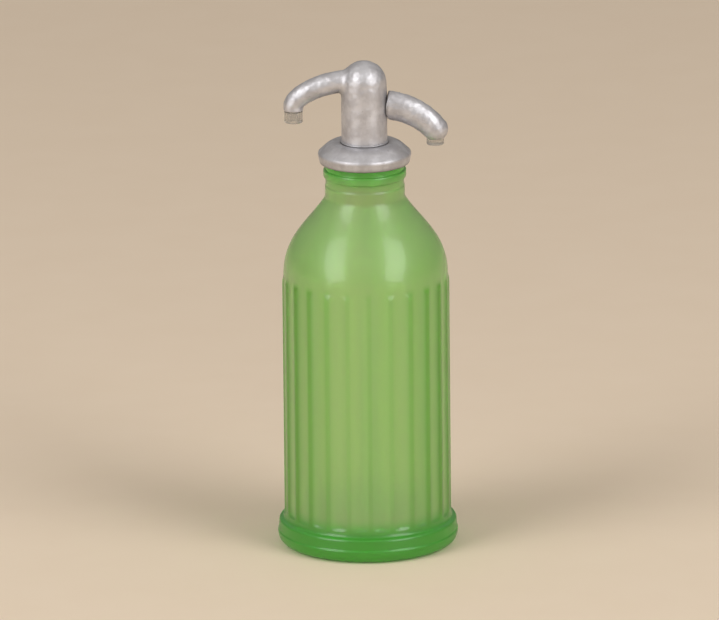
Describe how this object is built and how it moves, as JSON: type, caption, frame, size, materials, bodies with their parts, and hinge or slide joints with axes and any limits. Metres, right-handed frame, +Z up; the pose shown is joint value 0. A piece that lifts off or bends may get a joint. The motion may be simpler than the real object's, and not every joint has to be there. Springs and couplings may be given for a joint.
{
  "type": "soda siphon",
  "caption": "Fluted glass soda siphon with a metal head: pressing the sprung side lever lifts the valve and soda water leaves the curved spout.",
  "frame": {"origin": "centre of the bottle's foot ring, on the surface that it stands on", "axes": "+Z up along the bottle, -X towards the spout, +X towards the lever"},
  "size_m": [0.11, 0.11, 0.2966],
  "materials": {
    "bottle_glass": "hazy translucent green, glossy outside",
    "silver_casting": "silver finish, satin, slightly uneven",
    "clear_plastic": "clear and slightly hazy",
    "rubber_black": "matt moulded",
    "steel_bright": "bright drawn",
    "brass_turned": "turned, lightly dulled",
    "fibre_red": "pressed fibre, matt",
    "clear_glass": "clear drawn tube"
  },
  "bodies": {
    "siphon": {"bottle": "bottle_glass", "collar_nut": "silver_casting", "head_body": "silver_casting", "spout_nozzle": "clear_plastic", "neck_gasket": "rubber_black", "gland_packing": "rubber_black", "tube_sleeve": "rubber_black", "lever_pin": "steel_bright", "plunger_spring": "steel_bright", "spring_seat": "brass_turned", "gland_washer": "brass_turned", "gland_nut": "brass_turned", "seat_nut": "brass_turned", "tube_nut": "brass_turned", "seat_washer": "fibre_red", "dip_tube": "clear_glass"},
    "lever": {"lever": "silver_casting", "lever_plug": "clear_plastic"},
    "plunger": {"plunger": "brass_turned", "valve_cup": "brass_turned", "valve_washer": "rubber_black", "valve_screw": "steel_bright"}
  },
  "joints": [
    {"name": "lever_hinge", "type": "hinge", "parent": "siphon", "child": "lever", "pos_m": [0.0104, 0, 0.2645], "axis": [0, 1, 0], "range_deg": [0, 12], "stiffness_Nm_per_rad": 0.37, "springref_deg": -15.47},
    {"name": "plunger_slide", "type": "slide", "parent": "siphon", "child": "plunger", "axis": [0, 0, 1], "range_m": [0, 0.00233], "deforming": ["plunger_spring"]}
  ],
  "couplings": [
    {"joint": "plunger_slide", "follows": "lever_hinge", "m_per_rad": 0.0111}
  ]
}
